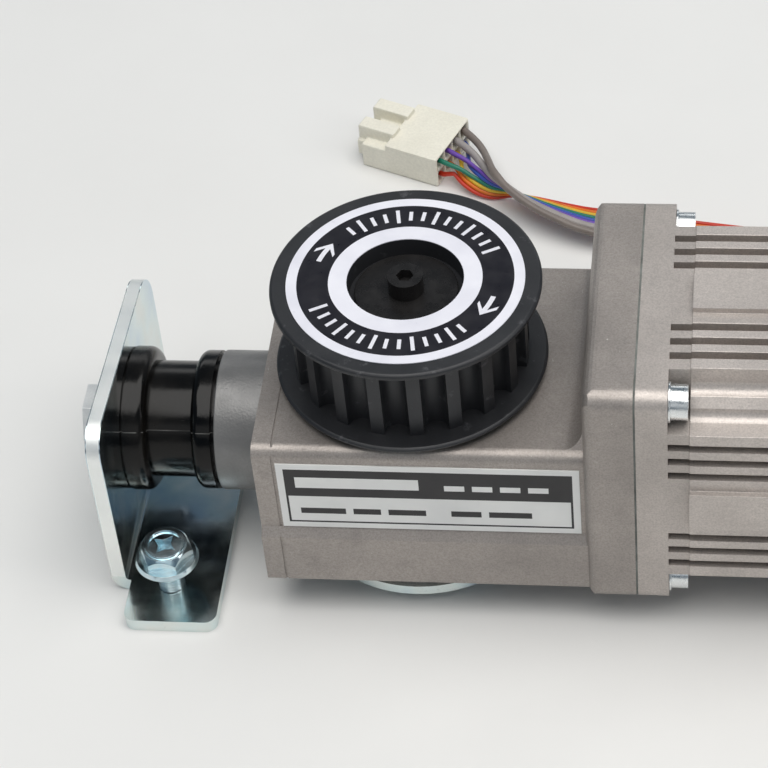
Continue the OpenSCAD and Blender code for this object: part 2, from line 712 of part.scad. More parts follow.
// Belt groove: a slot with slanted sides and a rounded floor.
module belt_groove() {
    translate([tip_r - groove_depth + 2.4, 0]) circle(r = 2.4, $fn = 48);
    polygon([[tip_r - groove_depth + 2.3, -2.4], [tip_r - groove_depth + 2.3, 2.4],
        [tip_r + 1, 2.75], [tip_r + 1, -2.75]]);
}

module pulley_toothed_hub() color("#242527") at_gearbox() difference() {
    union() {
        translate([0, 0, teeth_z]) linear_extrude(belt_gap) difference() {
            circle(r = tip_r, $fn = 128);
            for (i = [0 : pulley_teeth - 1]) rotate((i + 0.18) * 360 / pulley_teeth) belt_groove();
        }
        translate([0, 0, pulley_z]) cylinder(h = label_z - pulley_z, r = hub_r, $fn = 96);
    }
    translate([0, 0, recess_z]) cylinder(h = 10, r = recess_r, $fn = 96);
    translate([0, 0, 40]) cylinder(h = 40, r = shaft_r, $fn = 72);
    translate([4, -key_w / 2, 40]) cube([4, key_w, recess_z - 40 + 1]);
}

// Flange with a gently coned rim.
module pulley_disc(z, t, d, up) translate([0, 0, z]) rotate_extrude($fn = 128) polygon([
    [hub_r, 0], [d / 2 - 0.5, up ? 0.15 : 0], [d / 2, up ? 0.5 : 0.4], [d / 2, t - 0.4],
    [d / 2 - 0.5, t], [hub_r, t]]);

module pulley_lower_flange() color("#1d1e20") at_gearbox()
    pulley_disc(pulley_z, flange_t, lower_flange_d, false);
module pulley_upper_flange() color("#1d1e20") at_gearbox()
    pulley_disc(upper_z, upper_t, upper_flange_d, true);

module pulley_label() color("#e9e9ee") at_gearbox() ring_z(label_z, label_t, recess_r + 0.1, 23.4);

module pulley_washer() color("#1d1e20") at_gearbox() ring_z(recess_z, washer_t, 2.2, 10.2);

module pulley_screw() color("#18191a") at_gearbox() translate([0, 0, recess_z + washer_t])
    cap_screw(4, 14, 3.5, 3.8, 3);

// ---------------------------------------------------------------- lead

exit_x = tail_x + 6;
// Middle of the lead from the grommet, round behind the motor, to the connector, with the
// ribbon's roll about its own run as the last number.
lead_path = [
    [exit_x, 22, motor_z, 0], [exit_x, 31.5, motor_z, 0], [exit_x - 0.7, 38, 35.2, -2],
    [exit_x - 2.9, 46, 31, -8], [exit_x - 7.9, 55, 24, -15], [126, 63, 16.5, -20], [114, 69, 10.5, -20],
    [98, 74, 7.2, -15], [80, 78, 5.6, -12], [62, 81.5, 5, -8], [46, 84.4, 5, -4], [31, 87.6, 5, 4],
    [24, 90.3, 5, 16], [18, 93.3, 5.1, 28], [13.5, 96, 5.2, 42], [9.5, 98.7, 5.2, 62], [5.5, 101, 5.1, 100],
    [2, 104.6, 5, 140], [-0.8, 108.8, 4.7, 168], [-2.9, 111.2, 4.5, 178]
];
connector_at = [-13.8, 116.4];
connector_turn = -22.5;

function smooth(p, i, t) = let (n = len(p) - 1, a = p[max(i - 1, 0)], b = p[i],
    c = p[min(i + 1, n)], d = p[min(i + 2, n)])
    0.5 * (2 * b + (c - a) * t + (2 * a - 5 * b + 4 * c - d) * t * t
        + (3 * b - a - 3 * c + d) * t * t * t);
function unit(v) = v / norm(v);

lead_steps = 4;
lead_line = [for (i = [0 : len(lead_path) - 2], k = [0 : lead_steps - 1])
    smooth(lead_path, i, k / lead_steps), lead_path[len(lead_path) - 1]];
lead_section = [[-0.5, -0.25], [-0.42, -0.5], [0.42, -0.5], [0.5, -0.25],
    [0.5, 0.25], [0.42, 0.5], [-0.42, 0.5], [-0.5, 0.25]];

function place(i) = [lead_line[i][0], lead_line[i][1], lead_line[i][2]];

// Flat ribbon swept along the line.
module lead_ribbon() color("#8a6f9e") at_gearbox() {
    n = len(lead_line);
    points = [for (i = [0 : n - 1]) let (
        run = unit(place(min(i + 1, n - 1)) - place(max(i - 1, 0))),
        side = unit(cross([0, 0, 1], run)), up = cross(run, side), roll = lead_line[i][3],
        across = side * cos(roll) + up * sin(roll), over = up * cos(roll) - side * sin(roll))
        each [for (s = lead_section) place(i) + s[0] * ribbon_w * across + s[1] * ribbon_t * over]];
    polyhedron(points, concat(
        [[for (k = [0 : 7]) k]],
        [for (i = [0 : n - 2], k = [0 : 7]) let (j = (k + 1) % 8)
            each [[8 * i + k, 8 * i + 8 + k, 8 * i + 8 + j], [8 * i + k, 8 * i + 8 + j, 8 * i + j]]],
        [[for (k = [7 : -1 : 0]) 8 * (n - 1) + k]]));
}

module lead_grommet() color(rubber) at_gearbox() translate([exit_x, 0, motor_z]) difference() {
    union() {
        translate([-5.6, 24, -1.7]) cube([11.2, flange_side / 2 - 24, 3.4]);
        translate([-5.9, flange_side / 2, -3]) cube([11.6, 1.6, 6]);
    }
    translate([-ribbon_w / 2 - 0.2, 20, -ribbon_t / 2 - 0.2]) cube([ribbon_w + 0.4, 14, ribbon_t + 0.4]);
}

// Eight-way housing lying on the table, with two rails over its stepped mating end.
module lead_connector() color("#ece8d8") at_gearbox()
    translate([connector_at[0], connector_at[1], 0]) rotate(connector_turn) difference() {
        union() {
            translate([-3.6, -8.5, 0.1]) cube([13.8, 17, 8.2]);
            translate([-10.2, -8.5, 0.1]) cube([7, 17, 6.6]);
            translate([-12.4, -6.6, 1.4]) cube([2.4, 13.2, 4.4]);
            for (y = [-5.6, 1.8]) translate([-12.4, y, 5.6]) cube([9.6, 3.8, 4]);
        }
        for (i = [0 : 3], z = [0.9, 4.9]) translate([3.4, -7.6 + 4 * i, z]) cube([8, 3.2, 2.8]);
        for (i = [0 : 3], z = [1.8, 3.9]) translate([-13, -5.9 + 3.1 * i, z]) cube([4, 2.4, 1.4]);
    }

// ---------------------------------------------------------------- nodes

front_bracket();
rear_bracket();
foot_bolts();
bush_bolts();
bush_sleeves();
front_rubber_bush();
rear_rubber_bush();
front_bush_boss();
gear_housing();
bottom_cover();
bottom_cover_screws();
nameplate();
flange_gasket();
motor_front_bell();
flange_screws();
flange_screw_washers();
motor_body();
motor_rear_bell();
tie_bolts();
stator_core();
stator_windings();
hall_sensor_board();
rotor_shaft();
rotor_core();
rotor_magnets();
bevel_pinion();
motor_bearing_outer_rings();
motor_bearing_inner_rings();
motor_bearing_balls();
motor_bearing_cages();
preload_washer();
output_shaft();
shaft_keys();
bevel_wheel_teeth();
bevel_wheel_hub();
output_bearing_outer_rings();
output_bearing_inner_rings();
output_bearing_balls();
output_bearing_cages();
shaft_spacer();
shaft_seal();
pulley_toothed_hub();
pulley_lower_flange();
pulley_upper_flange();
pulley_label();
pulley_washer();
pulley_screw();
lead_grommet();
lead_ribbon();
lead_connector();
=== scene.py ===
"""Looks of a sliding-door gearmotor: a finned motor, a cast gearbox, an upright belt
pulley, rubber-bushed brackets and a ribbon lead, lying on a pale table.

Lengths are written in millimetres and multiplied by MM, except those of the lamps and the
table, which are in metres. The pulley stands on the point (axis_x, 0).
"""

import math

import bmesh
import bpy
from mathutils import Matrix, Vector


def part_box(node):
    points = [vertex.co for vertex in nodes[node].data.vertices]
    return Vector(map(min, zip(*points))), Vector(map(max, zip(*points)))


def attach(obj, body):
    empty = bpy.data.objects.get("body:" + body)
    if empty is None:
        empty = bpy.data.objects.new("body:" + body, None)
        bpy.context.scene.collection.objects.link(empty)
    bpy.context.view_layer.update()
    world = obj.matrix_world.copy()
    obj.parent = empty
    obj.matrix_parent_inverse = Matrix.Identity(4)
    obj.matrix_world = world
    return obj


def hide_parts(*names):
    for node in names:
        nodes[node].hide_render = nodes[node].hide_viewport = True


MM = 0.001
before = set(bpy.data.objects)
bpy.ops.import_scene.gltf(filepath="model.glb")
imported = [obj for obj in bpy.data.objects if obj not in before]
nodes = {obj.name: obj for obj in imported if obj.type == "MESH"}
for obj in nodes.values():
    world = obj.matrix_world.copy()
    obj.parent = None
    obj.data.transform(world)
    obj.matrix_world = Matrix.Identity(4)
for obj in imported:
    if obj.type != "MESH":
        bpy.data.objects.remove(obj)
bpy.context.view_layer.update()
scene = bpy.context.scene


def node_box(node):
    """Lowest and highest corner of a CAD node's box."""
    low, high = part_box(node)
    return Vector(low), Vector(high)


pulley_low, pulley_high = node_box("pulley_upper_flange")
axis_x = ((pulley_low + pulley_high) / 2).x
label_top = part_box("pulley_label")[1][2]


def at(x, y, z):
    """A point given in millimetres from the foot of the pulley axis."""
    return Vector((axis_x + x * MM, y * MM, z * MM))


# ---------------------------------------------------------------- camera and light


def add_camera():
    """Long lens above the near side, a little rolled, aimed at the table behind the pulley."""
    place = at(66.64, -394.01, 439.61)
    aim = at(-5.37, 42.35, 0)
    roll = math.radians(-5.491)
    data = bpy.data.cameras.new("camera")
    data.sensor_width = 36
    data.lens = 131.27
    data.shift_x = -0.05
    data.shift_y = -0.015
    data.clip_start = 0.01
    camera = bpy.data.objects.new("camera", data)
    look = (aim - place).to_track_quat("-Z", "Y").to_matrix().to_4x4()
    camera.matrix_world = Matrix.Translation(place) @ look @ Matrix.Rotation(roll, 4, "Z")
    scene.collection.objects.link(camera)
    scene.camera = camera


def add_lamp(name, place, target, width, height, watts, tint):
    """Rectangular softbox at place, facing target; all lengths in metres."""
    data = bpy.data.lights.new(name, "AREA")
    data.shape = "RECTANGLE"
    data.size = width
    data.size_y = height
    data.energy = watts
    data.color = tint
    lamp = bpy.data.objects.new(name, data)
    lamp.location = place
    lamp.rotation_euler = (Vector(target) - Vector(place)).to_track_quat("-Z", "Y").to_euler()
    scene.collection.objects.link(lamp)


def add_lights():
    """Broad overhead light with near, far and right fills, in a dim bluish room."""
    world = bpy.data.worlds.new("studio")
    scene.world = world
    world.use_nodes = True
    sky = world.node_tree.nodes["Background"]
    sky.inputs["Color"].default_value = (0.60, 0.80, 1.0, 1)
    sky.inputs["Strength"].default_value = 0.16
    unit = (0, 0, 0.03)
    add_lamp("overhead", (0.05, -0.10, 1.15), unit, 1.5, 1.1, 16.0, (1, 0.975, 0.94))
    add_lamp("near_fill", (-0.05, -1.1, 0.55), unit, 1.4, 0.4, 1.0, (1, 0.98, 0.96))
    add_lamp("far_fill", (-0.1, 1.3, 0.62), unit, 1.6, 0.3, 2.2, (1, 0.99, 0.97))
    add_lamp("right_window", (1.0, -0.2, 0.6), (0.05, 0, 0.03), 0.5, 0.6, 2.2, (1, 0.97, 0.94))
    scene.view_settings.view_transform = "Standard"


# ---------------------------------------------------------------- shader helpers


def start_material(name):
    """New material, its node tree and its Principled shader."""
    material = bpy.data.materials.new(name)
    material.use_nodes = True
    tree = material.node_tree
    shader = next(n for n in tree.nodes if n.type == "BSDF_PRINCIPLED")
    return material, tree, shader


def noise(tree, size_mm, detail=3.0, stretch=(1, 1, 1), rough=0.5):
    """Noise value with features of about size_mm, stretched along the axes."""
    coords = tree.nodes.new("ShaderNodeTexCoord")
    mapping = tree.nodes.new("ShaderNodeMapping")
    mapping.inputs["Scale"].default_value = [1 / (s * size_mm * MM) for s in stretch]
    field = tree.nodes.new("ShaderNodeTexNoise")
    field.inputs["Scale"].default_value = 1.0
    field.inputs["Detail"].default_value = detail
    field.inputs["Roughness"].default_value = rough
    tree.links.new(coords.outputs["Object"], mapping.inputs["Vector"])
    tree.links.new(mapping.outputs["Vector"], field.inputs["Vector"])
    return field.outputs["Fac"]


def spread(tree, value, low, high, start=0.3, end=0.7):
    """The part of value between start and end, stretched to run from low to high."""
    fit = tree.nodes.new("ShaderNodeMapRange")
    fit.inputs["From Min"].default_value = start
    fit.inputs["From Max"].default_value = end
    fit.inputs["To Min"].default_value = low
    fit.inputs["To Max"].default_value = high
    tree.links.new(value, fit.inputs["Value"])
    return fit.outputs["Result"]


def blend(tree, factor, first, second):
    """Mix of two colours; each is a colour tuple or a socket, and factor a number or socket."""
    mix = tree.nodes.new("ShaderNodeMix")
    mix.data_type = "RGBA"
    factor_in, first_in, second_in = mix.inputs[0], mix.inputs[6], mix.inputs[7]
    for socket, value in ((factor_in, factor), (first_in, first), (second_in, second)):
        if isinstance(value, bpy.types.NodeSocket):
            tree.links.new(value, socket)
        elif isinstance(value, (int, float)):
            socket.default_value = value
        else:
            socket.default_value = (*value, 1)
    return mix.outputs[2]


def combine(tree, operation, first, second=0.0):
    """Math node; each input is a number or a socket."""
    math_node = tree.nodes.new("ShaderNodeMath")
    math_node.operation = operation
    for socket, value in zip(math_node.inputs, (first, second)):
        if isinstance(value, bpy.types.NodeSocket):
            tree.links.new(value, socket)
        else:
            socket.default_value = value
    return math_node.outputs[0]


def between(tree, value, start, end):
    """1 where value lies between start and end, else 0."""
    above = combine(tree, "GREATER_THAN", value, start)
    return combine(tree, "MULTIPLY", above, combine(tree, "LESS_THAN", value, end))


def split_place(tree):
    """Sockets X, Y and Z of the shaded point, in metres."""
    coords = tree.nodes.new("ShaderNodeTexCoord")
    split = tree.nodes.new("ShaderNodeSeparateXYZ")
    tree.links.new(coords.outputs["Object"], split.inputs[0])
    return split.outputs


def bump(tree, shader, height, depth_mm):
    """Raises the surface by up to depth_mm where height is 1."""
    relief = tree.nodes.new("ShaderNodeBump")
    relief.inputs["Strength"].default_value = 1.0
    relief.inputs["Distance"].default_value = depth_mm * MM
    tree.links.new(height, relief.inputs["Height"])
    previous = shader.inputs["Normal"].links
    if previous:
        tree.links.new(previous[0].from_socket, relief.inputs["Normal"])
    tree.links.new(relief.outputs["Normal"], shader.inputs["Normal"])


def shaded(colour, factor):
    """A colour tuple made darker or brighter by a factor, at most white."""
    return [min(1, c * factor) for c in colour]


def plain_surface(name, colours, metallic, gloss, grain, patches=18.0, wear=None, coat=0.0,
                  stretch=(1, 1, 1)):
    """General surface: two colours in soft patches, a fine grain and uneven gloss.

    gloss is (lowest, highest) roughness; grain is (size, depth) in millimetres; patches is
    their size in millimetres; wear is (colour, amount) for small rubbed spots."""
    material, tree, shader = start_material(name)
    soft = noise(tree, patches, 4, stretch)
    fine = noise(tree, grain[0], 2, stretch)
    colour = blend(tree, spread(tree, soft, 0, 1), *colours)
    colour = blend(tree, spread(tree, fine, 0, 0.35), colour, shaded(colours[0], 0.72))
    if wear:
        spots = noise(tree, 3.2, 5, rough=0.65)
        colour = blend(tree, spread(tree, spots, 0, wear[1], 0.62, 0.70), colour, wear[0])
    tree.links.new(colour, shader.inputs["Base Color"])
    shader.inputs["Metallic"].default_value = metallic
    smear = noise(tree, patches * 0.6, 3, stretch)
    tree.links.new(spread(tree, smear, *gloss), shader.inputs["Roughness"])
    if coat:
        shader.inputs["Coat Weight"].default_value = coat
        shader.inputs["Coat Roughness"].default_value = 0.15
    bump(tree, shader, fine, grain[1])
    return material


# ---------------------------------------------------------------- materials


def cast_metal(name, light, dark):
    """Blasted aluminium under a satin coat: cloudy tone, grime, a pitted grain, and bright
    rubbed specks and scratches."""
    material, tree, shader = start_material(name)
    grain = noise(tree, 0.38, 4, rough=0.7)
    cloud = noise(tree, 24, 5, rough=0.55)
    colour = blend(tree, spread(tree, cloud, 0, 1, 0.34, 0.66), light, dark)
    colour = blend(tree, spread(tree, grain, 0, 0.42, 0.40, 0.66), colour, shaded(dark, 0.5))
    grime = noise(tree, 6, 6, (1, 1.6, 1), 0.7)
    colour = blend(tree, spread(tree, grime, 0, 0.26, 0.55, 0.72), colour, shaded(dark, 0.55))
    pale = noise(tree, 1.7, 5, (1.6, 1, 0.6), 0.75)
    colour = blend(tree, spread(tree, pale, 0, 0.3, 0.60, 0.72), colour, shaded(light, 1.4))
    nicks = noise(tree, 0.9, 3, (1, 2.2, 0.7), 0.7)
    colour = blend(tree, spread(tree, nicks, 0, 0.7, 0.70, 0.76), colour, (0.70, 0.67, 0.63))
    tree.links.new(colour, shader.inputs["Base Color"])
    shader.inputs["Metallic"].default_value = 0.5
    tree.links.new(spread(tree, grime, 0.33, 0.48), shader.inputs["Roughness"])
    bump(tree, shader, grain, 0.045)
    bump(tree, shader, noise(tree, 4, 4), 0.07)
    return material


def zinc_sheet(name):
    """Blue zinc plating: mirror-like, faintly rainbow tinted, with fine rolled lines, and
    duller and paler on the sheared edges of the two upright plates."""
    material, tree, shader = start_material(name)
    ramp = tree.nodes.new("ShaderNodeValToRGB")
    ramp.color_ramp.elements[0].position = 0.30
    ramp.color_ramp.elements[0].color = (0.52, 0.64, 0.74, 1)
    ramp.color_ramp.elements[1].position = 0.70
    ramp.color_ramp.elements[1].color = (0.78, 0.78, 0.74, 1)
    ramp.color_ramp.elements.new(0.5).color = (0.68, 0.78, 0.78, 1)
    tree.links.new(noise(tree, 14, 3), ramp.inputs["Fac"])
    spots = spread(tree, noise(tree, 1.1, 4, rough=0.7), 0, 0.5, 0.60, 0.75)
    colour = blend(tree, spots, ramp.outputs["Color"], (0.36, 0.37, 0.38))
    shader.inputs["Metallic"].default_value = 1.0

    # The sheared edge is what lies between the two skins of an upright plate, above the foot.
    outer_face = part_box("rear_bracket")[1][0]
    sheet, skin, foot_top = 3.0, 0.2, 4
    place = split_place(tree)
    edge = between(tree, combine(tree, "ABSOLUTE", place["X"]),
                   outer_face - (sheet - skin) * MM, outer_face - skin * MM)
    edge = combine(tree, "MULTIPLY", edge, combine(tree, "GREATER_THAN", place["Z"], foot_top * MM))
    colour = blend(tree, combine(tree, "MULTIPLY", edge, 0.9), colour, (0.96, 0.97, 0.95))
    tree.links.new(colour, shader.inputs["Base Color"])
    dull = combine(tree, "MULTIPLY", edge, 0.34)
    smooth = spread(tree, noise(tree, 7, 4), 0.12, 0.27)
    tree.links.new(combine(tree, "ADD", smooth, dull), shader.inputs["Roughness"])
    bump(tree, shader, noise(tree, 0.5, 2, (1, 8, 1)), 0.006)
    bump(tree, shader, noise(tree, 5, 2), 0.02)
    return material


def moulded_rubber(name):
    """Glossy black rubber with a mould bloom and dust."""
    material, tree, shader = start_material(name)
    bloom = noise(tree, 9, 4)
    dust = noise(tree, 0.35, 3, rough=0.8)
    clean, bloomed = (0.0016, 0.0016, 0.0018), (0.0075, 0.0065, 0.0055)
    colour = blend(tree, spread(tree, bloom, 0, 1), clean, bloomed)
    colour = blend(tree, spread(tree, dust, 0, 0.5, 0.66, 0.74), colour, (0.12, 0.12, 0.12))
    tree.links.new(colour, shader.inputs["Base Color"])
    tree.links.new(spread(tree, bloom, 0.12, 0.28), shader.inputs["Roughness"])
    shader.inputs["Specular IOR Level"].default_value = 0.24
    bump(tree, shader, noise(tree, 2.6, 2), 0.03)
    bump(tree, shader, dust, 0.008)
    return material


def plate_print(name):
    """Rating plate: white border, black upper band, thin rule round a blank lower field,
    and plain bars where an owner's data would be filled in."""
    material, tree, shader = start_material(name)
    low, high = node_box("nameplate")
    place = split_place(tree)

    def block(x0, x1, z0, z1):
        """1 inside a rectangle given in millimetres from the plate's lower left corner."""
        across = between(tree, place["X"], low.x + x0 * MM, low.x + x1 * MM)
        upright = between(tree, place["Z"], low.z + z0 * MM, low.z + z1 * MM)
        return combine(tree, "MULTIPLY", across, upright)

    width = (high.x - low.x) / MM
    height = (high.z - low.z) / MM
    border = 1.4
    rule = 0.45
    band = height * 0.5                     # foot of the black band
    inner = border + rule
    rule_outside = block(border, width - border, border, height - border)
    rule_inside = block(inner, width - inner, inner, height - inner)
    ink = combine(tree, "MAXIMUM", block(border, width - border, band, height - border),
                  combine(tree, "SUBTRACT", rule_outside, rule_inside))
    dark_row = (4.0, 5.6)
    for start, end in ((4, 13), (14.5, 20), (21.5, 29), (34, 40), (41.5, 50)):
        ink = combine(tree, "MAXIMUM", ink, block(start, end, *dark_row))
    bar_foot = band + 2.4
    pale_bars = block(3.5, 28, bar_foot, band + 5.4)
    for start in (33, 38.5, 44, 49.5):
        short_bar = block(start, start + 4, bar_foot, band + 3.9)
        pale_bars = combine(tree, "MAXIMUM", pale_bars, short_bar)
    ink = combine(tree, "SUBTRACT", ink, pale_bars)
    smudge = noise(tree, 12, 4)
    paper = blend(tree, spread(tree, smudge, 0, 1), (0.84, 0.84, 0.82), (0.74, 0.74, 0.73))
    colour = blend(tree, ink, paper, (0.012, 0.011, 0.013))
    tree.links.new(colour, shader.inputs["Base Color"])
    tree.links.new(spread(tree, noise(tree, 4, 3), 0.28, 0.45), shader.inputs["Roughness"])
    bump(tree, shader, noise(tree, 3, 2), 0.01)
    return material


def ring_print(name):
    """Pulley label: black ring between two white rings, measured from the pulley axis."""
    black_from, black_to = 15.1, 21.3
    material, tree, shader = start_material(name)
    coords = tree.nodes.new("ShaderNodeTexCoord")
    from_axis = tree.nodes.new("ShaderNodeVectorMath")
    from_axis.operation = "SUBTRACT"
    from_axis.inputs[1].default_value = (axis_x, 0, label_top)
    length = tree.nodes.new("ShaderNodeVectorMath")
    length.operation = "LENGTH"
    tree.links.new(coords.outputs["Object"], from_axis.inputs[0])
    tree.links.new(from_axis.outputs[0], length.inputs[0])
    black = between(tree, length.outputs["Value"], black_from * MM, black_to * MM)
    smudge = noise(tree, 8, 4)
    white = blend(tree, spread(tree, smudge, 0, 1), (0.80, 0.80, 0.86), (0.70, 0.70, 0.77))
    ink = blend(tree, spread(tree, smudge, 0, 1), (0.006, 0.005, 0.009), (0.012, 0.011, 0.016))
    tree.links.new(blend(tree, black, white, ink), shader.inputs["Base Color"])
    tree.links.new(spread(tree, noise(tree, 3, 3), 0.27, 0.40), shader.inputs["Roughness"])
    bump(tree, shader, noise(tree, 1.5, 2), 0.006)
    return material


def wire_jacket(name, colour):
    """Soft vinyl in one colour, slightly dusty."""
    return plain_surface(name, (colour, shaded(colour, 0.8)), metallic=0.0, gloss=(0.32, 0.5),
                         grain=(0.4, 0.01), patches=5)


def table_top():
    """Pale laminate with faint mottling."""
    material, tree, shader = start_material("table_laminate")
    mottle = noise(tree, 60, 5)
    tone = blend(tree, spread(tree, mottle, 0, 1), (0.80, 0.795, 0.78), (0.77, 0.765, 0.75))
    tree.links.new(tone, shader.inputs["Base Color"])
    tree.links.new(spread(tree, mottle, 0.42, 0.52), shader.inputs["Roughness"])
    bump(tree, shader, noise(tree, 0.8, 2), 0.01)
    return material


# Metals of the castings and the sheet.
CAST = cast_metal("cast_satin_grey", (0.42, 0.379, 0.350), (0.32, 0.289, 0.268))
BELL = cast_metal("bell_satin_grey", (0.56, 0.508, 0.473), (0.45, 0.408, 0.379))
EXTRUDED = cast_metal("extruded_satin_grey", (0.65, 0.592, 0.551), (0.53, 0.482, 0.449))
ZINC = zinc_sheet("blue_zinc")

# Fasteners.
BRIGHT = plain_surface(
    "bright_zinc", ((0.84, 0.86, 0.86), (0.72, 0.76, 0.78)),
    metallic=1.0, gloss=(0.2, 0.32), grain=(0.35, 0.02), patches=4)
DULL = plain_surface(
    "dull_zinc", ((0.86, 0.87, 0.86), (0.76, 0.78, 0.79)),
    metallic=0.5, gloss=(0.3, 0.42), grain=(0.35, 0.012), patches=5)
BLUED = plain_surface(
    "blue_bright_zinc", ((0.82, 0.90, 0.92), (0.46, 0.70, 0.80)),
    metallic=1.0, gloss=(0.12, 0.25), grain=(0.5, 0.006), patches=4)

# Bushes, boss and gasket.
DUST = plain_surface(
    "mould_line_dust", ((0.10, 0.10, 0.095), (0.03, 0.03, 0.03)),
    metallic=0.0, gloss=(0.4, 0.6), grain=(0.4, 0.01), patches=4)
RUBBER = moulded_rubber("moulded_rubber")
BOSS_PAINT = plain_surface(
    "boss_paint", ((0.24, 0.238, 0.235), (0.17, 0.169, 0.168)),
    metallic=0.4, gloss=(0.32, 0.46), grain=(0.5, 0.06), patches=9)
GASKET = plain_surface(
    "gasket_fibre", ((0.20, 0.215, 0.20), (0.085, 0.09, 0.08)),
    metallic=0.0, gloss=(0.6, 0.85), grain=(0.4, 0.04), patches=3)

# Inside the housing and the motor.
STEEL = plain_surface(
    "ground_steel", ((0.58, 0.59, 0.60), (0.48, 0.49, 0.50)),
    metallic=1.0, gloss=(0.18, 0.3), grain=(0.3, 0.004), patches=8)
LAMINATION = plain_surface(
    "lamination", ((0.34, 0.35, 0.37), (0.25, 0.26, 0.28)),
    metallic=0.8, gloss=(0.35, 0.5), grain=(0.35, 0.03), stretch=(1, 40, 40))
COPPER = plain_surface(
    "copper_wire", ((0.62, 0.24, 0.08), (0.48, 0.17, 0.05)),
    metallic=0.85, gloss=(0.2, 0.35), grain=(0.5, 0.15), stretch=(30, 1, 1))
BOARD = plain_surface(
    "circuit_board", ((0.02, 0.16, 0.06), (0.015, 0.11, 0.045)),
    metallic=0.0, gloss=(0.25, 0.4), grain=(1.2, 0.02))
MAGNET = plain_surface(
    "magnet_coat", ((0.10, 0.10, 0.11), (0.07, 0.07, 0.08)),
    metallic=0.6, gloss=(0.3, 0.45), grain=(0.4, 0.01))
GEAR = plain_surface(
    "greased_gear", ((0.34, 0.32, 0.28), (0.24, 0.22, 0.18)),
    metallic=0.9, gloss=(0.2, 0.4), grain=(0.5, 0.01), coat=0.4)
BEARING = plain_surface(
    "bearing_steel", ((0.76, 0.77, 0.78), (0.68, 0.69, 0.7)),
    metallic=1.0, gloss=(0.1, 0.2), grain=(0.3, 0.002))
CAGE = plain_surface(
    "cage_strip", ((0.60, 0.43, 0.18), (0.5, 0.34, 0.13)),
    metallic=1.0, gloss=(0.25, 0.4), grain=(0.3, 0.005))

# Pulley, prints and connector.
ANODISED = plain_surface(
    "black_anodised", ((0.022, 0.023, 0.026), (0.034, 0.035, 0.039)),
    metallic=0.25, gloss=(0.34, 0.5), grain=(0.30, 0.012), patches=14,
    wear=((0.16, 0.16, 0.17), 0.35))
OXIDE = plain_surface(
    "black_oxide", ((0.030, 0.028, 0.028), (0.018, 0.017, 0.017)),
    metallic=0.5, gloss=(0.2, 0.38), grain=(0.4, 0.015), patches=4)
NYLON = plain_surface(
    "nylon", ((0.86, 0.83, 0.72), (0.80, 0.77, 0.66)),
    metallic=0.0, gloss=(0.34, 0.48), grain=(0.6, 0.01), patches=7)

MATERIALS = {
    CAST: ["gear_housing"],
    BELL: ["motor_front_bell", "motor_rear_bell"],
    EXTRUDED: ["motor_body"],
    ZINC: ["front_bracket", "rear_bracket", "bottom_cover"],
    BLUED: ["foot_bolts"],
    DULL: ["bush_bolts", "bush_sleeves"],
    BRIGHT: ["flange_screws", "flange_screw_washers", "tie_bolts", "bottom_cover_screws"],
    RUBBER: ["front_rubber_bush", "rear_rubber_bush", "lead_grommet", "shaft_seal"],
    BOSS_PAINT: ["front_bush_boss"],
    GASKET: ["flange_gasket"],
    STEEL: ["rotor_shaft", "output_shaft", "shaft_keys", "shaft_spacer", "preload_washer"],
    LAMINATION: ["stator_core", "rotor_core"],
    COPPER: ["stator_windings"],
    BOARD: ["hall_sensor_board"],
    MAGNET: ["rotor_magnets"],
    GEAR: ["bevel_pinion", "bevel_wheel_teeth", "bevel_wheel_hub"],
    BEARING: [
        "motor_bearing_outer_rings", "motor_bearing_inner_rings", "motor_bearing_balls",
        "output_bearing_outer_rings", "output_bearing_inner_rings", "output_bearing_balls"],
    CAGE: ["motor_bearing_cages", "output_bearing_cages"],
    ANODISED: ["pulley_toothed_hub", "pulley_lower_flange", "pulley_upper_flange"],
    OXIDE: ["pulley_washer", "pulley_screw"],
    plate_print("plate_print"): ["nameplate"],
    ring_print("ring_print"): ["pulley_label"],
    NYLON: ["lead_connector"],
}

# Edge rounding in millimetres for the nodes whose edges catch the light.
EDGES = {
    "gear_housing": 0.4, "motor_front_bell": 0.2, "motor_rear_bell": 0.4, "motor_body": 0.3,
    "front_bracket": 0.35, "rear_bracket": 0.35, "bottom_cover": 0.3, "foot_bolts": 0.22,
    "bush_bolts": 0.4, "flange_screws": 0.5, "flange_screw_washers": 0.12, "tie_bolts": 0.5,
    "front_bush_boss": 0.4, "pulley_toothed_hub": 0.3, "pulley_lower_flange": 0.15,
    "pulley_upper_flange": 0.2, "pulley_screw": 0.25, "pulley_washer": 0.15,
    "lead_connector": 0.4, "lead_grommet": 0.4,
}


def dress_nodes():
    """Gives every CAD node its material, and rounds the edges that are seen."""
    for material, names in MATERIALS.items():
        for name in names:
            nodes[name].material_slots[0].material = material
    for name, width in EDGES.items():
        node = nodes[name]
        weld = node.modifiers.new("weld", "WELD")
        weld.merge_threshold = 0.002 * MM
        edge = node.modifiers.new("edge", "BEVEL")
        edge.width = width * MM
        edge.segments = 3
        edge.limit_method = "ANGLE"
        edge.angle_limit = math.radians(28)
        edge.use_clamp_overlap = True
        edge.miter_outer = "MITER_ARC"
        soft = node.modifiers.new("soft", "WEIGHTED_NORMAL")
        soft.keep_sharp = True


# ---------------------------------------------------------------- mesh helpers


def add_piece(name, mesh_data, body, material, smooth=True):
    """Turns a bmesh into a piece that rides on a body."""
    mesh = bpy.data.meshes.new(name)
    mesh_data.to_mesh(mesh)
    mesh_data.free()
    piece = bpy.data.objects.new(name, mesh)
    scene.collection.objects.link(piece)
    if material is not None:
        mesh.materials.append(material)
    for face in mesh.polygons:
        face.use_smooth = smooth
    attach(piece, body)
    return piece


